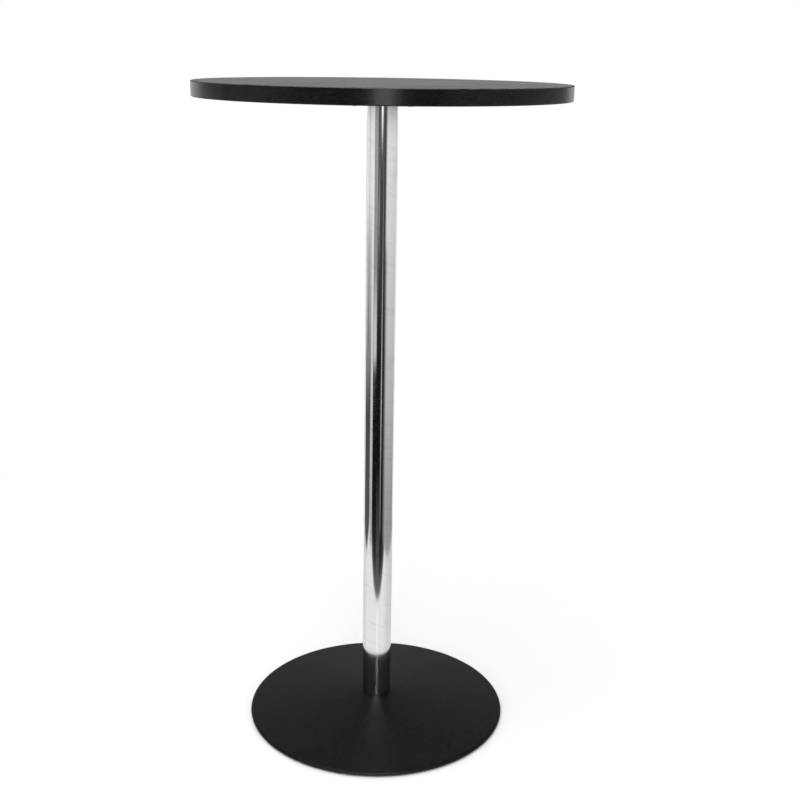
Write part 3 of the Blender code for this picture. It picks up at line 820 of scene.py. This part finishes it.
# spring washer: a rounded square carried round the axis from one side of its split to the other, while it
# climbs a little
def addSpringWasher():
    _, radius, low, high = span("spring_washer")
    section = ringSection(spring["bore"], radius, low, high, spring["rounding"], spring["roundSteps"])
    gap = math.asin(spring["split"] / (spring["bore"] + radius))
    sweep = np.linspace(gap, tau - gap, spring["stations"])
    climb = (sweep / tau - 0.5) * spring["lead"]
    ring = np.stack([np.outer(np.cos(sweep), section[:, 0]), np.outer(np.sin(sweep), section[:, 0]),
                     climb[:, None] + section[:, 1]], axis=-1)
    ends = [np.broadcast_to(ring[i].mean(axis=0), ring[i].shape)[None] for i in (0, -1)]
    addPiece("springWasher", "spring_washer", [(np.vstack([ends[0], ring, ends[1]]), False)])


glide = {"count": 4, "stemHole": 0.0033, "floor": 0.0015, "rounding": 0.0010, "eased": 0.0003,
         "roundSteps": 5, "around": 64, "pitch": 0.0010, "threadDepth": 0.0005, "plainEnd": 0.0030,
         "tip": 0.0008, "stemAround": 32}


# glide pad: a round foot with a hole for its stem, turned
def addGlidePad(name, node):
    middle, radius, low, high = span(node)
    hole, floor, eased = glide["stemHole"], low + glide["floor"], glide["eased"]
    outline = roundOutline([
        (0, low, 0), (radius, low, glide["rounding"]), (radius, high, glide["rounding"] / 2),
        (hole, high, eased), (hole, floor, eased), (0, floor, 0),
    ], glide["roundSteps"])
    addPiece(name, node, [(turn(outline, evenAngles(glide["around"]), middle), False)])


# glide stem: a turned pin whose radius follows a screw thread above its plain end
def addGlideStem(name, node):
    middle, radius, low, high = span(node)
    angles = evenAngles(glide["stemAround"])
    tip, foot = glide["tip"], glide["tip"] / 2
    thread = threadRun(radius, low + foot, high - tip, glide["pitch"])
    outline = np.vstack([[(0, low), (radius - foot, low)], thread, [(radius - tip, high), (0, high)]])
    grow = threadGrow(outline, angles, low + glide["plainEnd"], high, glide)
    grow[:2], grow[-2:] = 1, 1
    addPiece(name, node, [(turn(outline, angles, middle, grow), False)])


addCover()
addBallast()
addFootSpigot()
addRing("rodWasher", "rod_washer", spigot["rodBore"], rod["washerRounding"])
addSpringWasher()
addRodNut()
for number in range(1, glide["count"] + 1):
    addGlidePad(f"glidePad{number}", f"glide_pad_{number}")
    addGlideStem(f"glideStem{number}", f"glide_stem_{number}")
print("base: cover, ballast, spigot, rod fixing and glides")


studio = {
    "floorSize": 60.0, "floorPoints": 3, "floorLevel": -0.0001, "floorColour": 0.97, "whiteFrom": (0.7, 1.6),
    "ambient": 0.88, "mirrorGround": 0.92, "horizon": (-0.004, 0.0), "toSide": (-0.1, 0.2),
    "toBack": (0.7, 0.93), "sideSky": 0.0, "frontSky": [(0, 0.02), (0.2, 0.03), (0.5, 0.03), (1, 0.05)],
    "backSky": [(0, 0.92), (0.028, 0.92), (0.063, 0.05), (0.15, 0.03), (0.24, 0.08), (0.35, 0.42),
                (0.44, 0.42), (0.6, 0.15), (0.75, 0.09), (1, 0.08)],
}


# a level sheet of the stage from a grid of points; u runs across its columns, v along its rows, from 0 to 1
def addStage(name, x, y, height, material, glossyOnly=False):
    mesh = bpy.data.meshes.new(name)
    rows, columns = x.shape
    i, j = np.meshgrid(np.arange(rows - 1), np.arange(columns - 1), indexing="ij")
    corner = i * columns + j
    faces = np.stack([corner, corner + 1, corner + columns + 1, corner + columns], axis=-1).reshape(-1, 4)
    points = np.stack([x, y, np.full(x.shape, height)], axis=-1).reshape(-1, 3)
    mesh.from_pydata(points.tolist(), [], faces.tolist())
    u, v = j / (columns - 1), i / (rows - 1)
    across, along = 1 / (columns - 1), 1 / (rows - 1)
    corners = np.stack([u, v, u + across, v, u + across, v + along, u, v + along], axis=-1)
    mesh.uv_layers.new(name="card").data.foreach_set("uv", corners.ravel())
    mesh.materials.append(material)
    sheet = bpy.data.objects.new(name, mesh)
    bpy.context.scene.collection.objects.link(sheet)
    sheet.visible_diffuse, sheet.visible_shadow = False, False
    sheet.visible_camera, sheet.visible_glossy = not glossyOnly, glossyOnly
    sheet.visible_transmission = not glossyOnly


# pale floor: it takes the object's shadow near it, turns plain white further off and isn't seen from below
def makeFloor():
    material = bpy.data.materials.new("paleFloor")
    board = clearBoard(material)
    x, y, _ = board.parts(board.place())
    far = (x * x + y * y) ** 0.5
    near = board.node("BsdfDiffuse", inputs={"Color": grey(studio["floorColour"])})
    white = board.node("Emission", inputs={"Color": grey(1.0), "Strength": 1.0})
    whiter = board.ramp(far, *studio["whiteFrom"])
    seen = board.node("MixShader", inputs={0: whiter, 1: near, 2: white})
    below = board.node("NewGeometry", out="Backfacing")
    through = board.node("BsdfTransparent")
    surface = board.node("MixShader", inputs={0: below, 1: seen, 2: through})
    board.node("OutputMaterial", inputs={"Surface": surface})
    reach = np.linspace(-1, 1, studio["floorPoints"]) * studio["floorSize"] / 2
    x, y = np.meshgrid(reach, reach)
    addStage("floor", x, y, studio["floorLevel"], material)


# painted reflections: glowing sheets on the floor round the table, seen only by glossy rays, that the
# polished column and the other glossy pieces mirror; the dark ones paint dark patches, and contactShade a
# contact shadow round the base, into those reflections. Each runs from one azimuth to another (degrees from
# the front, right is positive), with its brightness at some distances and its fade at both sides; fall dims
# it across, straight cuts its near end along x, and point draws that end out in the middle
reflectionCards = {
    # painted contact shadow: a dark ring round the base that only mirrors see
    "contactShade": {"azimuth": (-180, 180), "soft": (0, 0),
                     "glow": [(0.21, 0.10), (0.228, 0.3), (0.238, 0.85), (0.26, 0.92)]},
    "nearRight": {"azimuth": (40, 178), "soft": (45, 10), "fall": 0.18, "glow": [(0.23, 0.82), (0.95, 0.78)]},
    "nearLeft": {"azimuth": (-178, -80), "soft": (10, 70), "glow": [(0.23, 0.72), (0.95, 0.74)]},
    "nearLine": {"azimuth": (-4.5, 5), "soft": (3, 3), "glow": [(0.235, 1.25), (0.47, 1.10)]},
    "frontDark": {"azimuth": (-55, 60), "soft": (2, 2), "straight": True,
                  "glow": [(0.455, 0.14), (0.54, 0.10), (0.62, 0.02), (0.85, 0.005), (2.3, 0.005), (5, 0.05),
                           (120, 0.06)]},
    "frontMiddle": {"azimuth": (-22, 14), "soft": (8, 8), "straight": True,
                    "glow": [(0.5, 0.12), (0.8, 0.06), (1.35, 0.01)]},
    "frontLeftGrey": {"azimuth": (-53, -24), "soft": (3, 6),
                      "glow": [(2.35, 0.75), (3.2, 0.62), (4.5, 0.30), (8, 0.36), (20, 0.42), (30, 0.08),
                               (120, 0.05)]},
    "frontLeftHaze": {"azimuth": (-30, -6), "soft": (10, 10),
                      "glow": [(3.6, 0.05), (4.8, 0.10), (6.8, 0.30), (9.6, 0.14), (20, 0.12)]},
    "frontLine": {"azimuth": (9, 18), "soft": (2.5, 2.5),
                  "glow": [(0.8, 0.18), (1.3, 0.28), (1.8, 0.55), (3, 0.45), (5, 0.20), (12, 0.12),
                           (120, 0.1)]},
    "leftStrip": {"azimuth": (-73, -55), "soft": (2, 2),
                  "glow": [(0.72, 0.44), (1.07, 0.48), (1.8, 0.60), (2.9, 0.74), (4.8, 0.80), (9, 1.0),
                           (22, 0.85), (32, 0.10), (120, 0.05)]},
    "leftDark": {"azimuth": (-138, -72), "soft": (6, 4), "point": 0.3,
                 "glow": [(0.69, 0.08), (1.07, 0.09), (1.8, 0.07), (2.5, 0.28), (3.5, 0.48), (4.8, 0.57),
                          (7.5, 0.92), (17, 0.95), (21, 0.72), (32, 0.15), (120, 0.05)]},
    "leftThread": {"azimuth": (-109, -93), "soft": (5, 5),
                   "glow": [(2.6, 0.12), (3.5, 0.20), (4.8, 0.32), (8, 0.75), (12, 0.62), (21, 0.6),
                            (30, 0.12)]},
    "rightGrey": {"azimuth": (26, 142), "soft": (30, 4), "fall": 0.15, "point": 0.2,
                  "glow": [(0.66, 0.36), (1.07, 0.41), (1.8, 0.55), (2.9, 0.68), (6.5, 0.80)]},
    "rightFar": {"azimuth": (26, 142), "soft": (18, 4), "fall": 0.2,
                 "glow": [(5, 0.81), (15, 0.95), (21, 0.66), (30, 0.12), (120, 0.03)]},
    "backDark": {"azimuth": (162, 200), "soft": (6, 6), "glow": [(0.8, 0.06), (3, 0.08), (20, 0.2)]},
    "farLine": {"azimuth": (-7.5, 8.5), "soft": (3, 3), "point": 0.25,
                "glow": [(12.5, 0.12), (14.4, 0.5), (17.3, 1.15), (21, 1.25), (120, 1.25)]},
}
cardLevel = {"first": 0.0010, "step": 0.0003, "across": 48, "along": 48, "softReach": 0.1}


# glowing card of painted reflection: its brightness follows the card's stops from near to far, and the card
# fades out at its edges; its points lie at even azimuths, at distances that grow by the same factor from each
# row to the next
def makeReflectionCard(name, card, height):
    material = bpy.data.materials.new(name)
    board = clearBoard(material)
    u, v, _ = board.parts(board.place("UV"))
    width = card["azimuth"][1] - card["azimuth"][0]
    near, far = card["glow"][0][0], card["glow"][-1][0]
    reach = math.log(far / near)
    brightest = max(bright for _, bright in card["glow"])
    stops = [(math.log(distance / near) / reach, bright / brightest) for distance, bright in card["glow"]]
    ends = cardLevel["softReach"] / reach
    shown = board.ramp(v, 0, ends) * board.ramp(v, 1, 1 - ends)
    for edge, soft in zip((u, 1 - u), card["soft"]):
        shown = shown * board.ramp(edge, 0, soft / width) if soft else shown
    along = board.node("ValToRGB", {"stops": stops}, {"Fac": v})
    fallen = board.mix(u * card.get("fall", 0.0), along, grey(0.0))
    glow = board.node("Emission", inputs={"Color": fallen, "Strength": brightest})
    clear = board.node("BsdfTransparent")
    surface = board.node("MixShader", inputs={0: shown, 1: clear, 2: glow})
    board.node("OutputMaterial", inputs={"Surface": surface})
    azimuth = np.radians(np.linspace(*card["azimuth"], cardLevel["across"]))
    point = np.linspace(-1, 1, cardLevel["across"]) ** 2 * card.get("point", 0.0)
    start = near / np.cos(azimuth) if card.get("straight") else near * (1 + point)
    distance = start * (far / start) ** np.linspace(0, 1, cardLevel["along"])[:, None]
    x, y = distance * np.sin(azimuth), -distance * np.cos(azimuth)
    addStage(name, x, y, height, material, glossyOnly=True)


makeFloor()
for number, (name, card) in enumerate(reflectionCards.items()):
    makeReflectionCard(name, card, cardLevel["first"] + number * cardLevel["step"])
print("stage: floor and", len(reflectionCards), "reflectionCards")


# world: white where the camera looks, an even fill for matt surfaces, and for mirrors a white ground and a
# sky that is dim in front, dark at the sides and white at the horizon behind
def makeWorld():
    world = bpy.data.worlds.new("studio")
    bpy.context.scene.world = world
    board = clearBoard(world)
    _, lookBack, lookUp = board.parts(board.place("Generated"))
    path = board.node("LightPath").socket.node
    camera, glossy, through = [Wire(board, path.outputs[name]) for name in
                               ("Is Camera Ray", "Is Glossy Ray", "Is Transmission Ray")]
    facing = lookBack / (1 - lookUp * lookUp) ** 0.5        # 1 behind the table, -1 in front of it
    front = board.node("ValToRGB", {"stops": studio["frontSky"]}, {"Fac": lookUp})
    back = board.node("ValToRGB", {"stops": studio["backSky"]}, {"Fac": lookUp})
    front = board.mix(board.ramp(facing, *studio["toSide"]), front, grey(studio["sideSky"]))
    sky = board.mix(board.ramp(facing, *studio["toBack"]), front, back)
    mirrored = board.mix(board.ramp(lookUp, *studio["horizon"]), grey(studio["mirrorGround"]), sky)
    lit = board.mix(glossy, grey(studio["ambient"]), mirrored)
    seen = board.mix(camera.maths("MAXIMUM", camera, through), lit, grey(1.0))
    light = board.node("Background", inputs={"Color": seen, "Strength": 1.0})
    board.node("OutputWorld", inputs={"Surface": light})


lamps = {
    "overhead": {"place": (-0.5, -0.4, 3.2), "aim": (0, 0, 0.6), "size": (2.2, 2.2), "power": 26.0},
    "front": {"place": (0.16, -8.0, 0.865), "aim": (0.16, 0, 0.865), "size": (1.3, 0.41), "power": 32.0,
              "spares": "chromeColumn"},
    "frontHigh": {"place": (0.05, -2.6, 2.7), "aim": (0.05, 0, 0), "size": (1.2, 1.0), "power": 20.0},
}


# oblong lamp turned towards its aim; it lights every piece but the one that it spares
def addLamp(name, lamp):
    light = bpy.data.lights.new(name, "AREA")
    light.shape, light.energy = "RECTANGLE", lamp["power"]
    light.size, light.size_y = lamp["size"]
    holder = bpy.data.objects.new(name, light)
    holder.location = lamp["place"]
    holder.rotation_mode = "QUATERNION"
    holder.rotation_quaternion = (Vector(lamp["aim"]) - Vector(lamp["place"])).to_track_quat("-Z", "Y")
    bpy.context.scene.collection.objects.link(holder)
    if "spares" in lamp:
        spared = bpy.data.collections.new(name + "Spares")
        spared.objects.link(bpy.data.objects[lamp["spares"]])
        spared.collection_objects[0].light_linking.link_state = "EXCLUDE"
        holder.light_linking.receiver_collection = spared


view = {"lens": 53.8283, "shift": -0.0375, "distance": 1.94080, "height": 1.14996, "pitch": 14.9997,
        "roll": 0.8823, "yaw": 0.9999}


# camera in front of the table: looks down by the pitch and right by the yaw, and leans by the roll
def addCamera():
    pitch, roll, yaw = [math.radians(view[name]) for name in ("pitch", "roll", "yaw")]
    ahead = Vector((math.sin(yaw) * math.cos(pitch), math.cos(yaw) * math.cos(pitch), -math.sin(pitch)))
    right = Vector((math.cos(yaw), -math.sin(yaw), 0))
    up = right.cross(ahead)
    right, up = right * math.cos(roll) + up * math.sin(roll), up * math.cos(roll) - right * math.sin(roll)
    camera = bpy.data.objects.new("camera", bpy.data.cameras.new("camera"))
    camera.data.lens, camera.data.shift_y = view["lens"], view["shift"]
    facing = Matrix((right, up, -ahead)).transposed().to_4x4()
    camera.matrix_world = Matrix.Translation((0, -view["distance"], view["height"])) @ facing
    bpy.context.scene.collection.objects.link(camera)
    bpy.context.scene.camera = camera


makeWorld()
for name, lamp in lamps.items():
    addLamp(name, lamp)
addCamera()
bpy.context.scene.view_settings.view_transform = "Standard"
print("studio: world, lamps and camera")
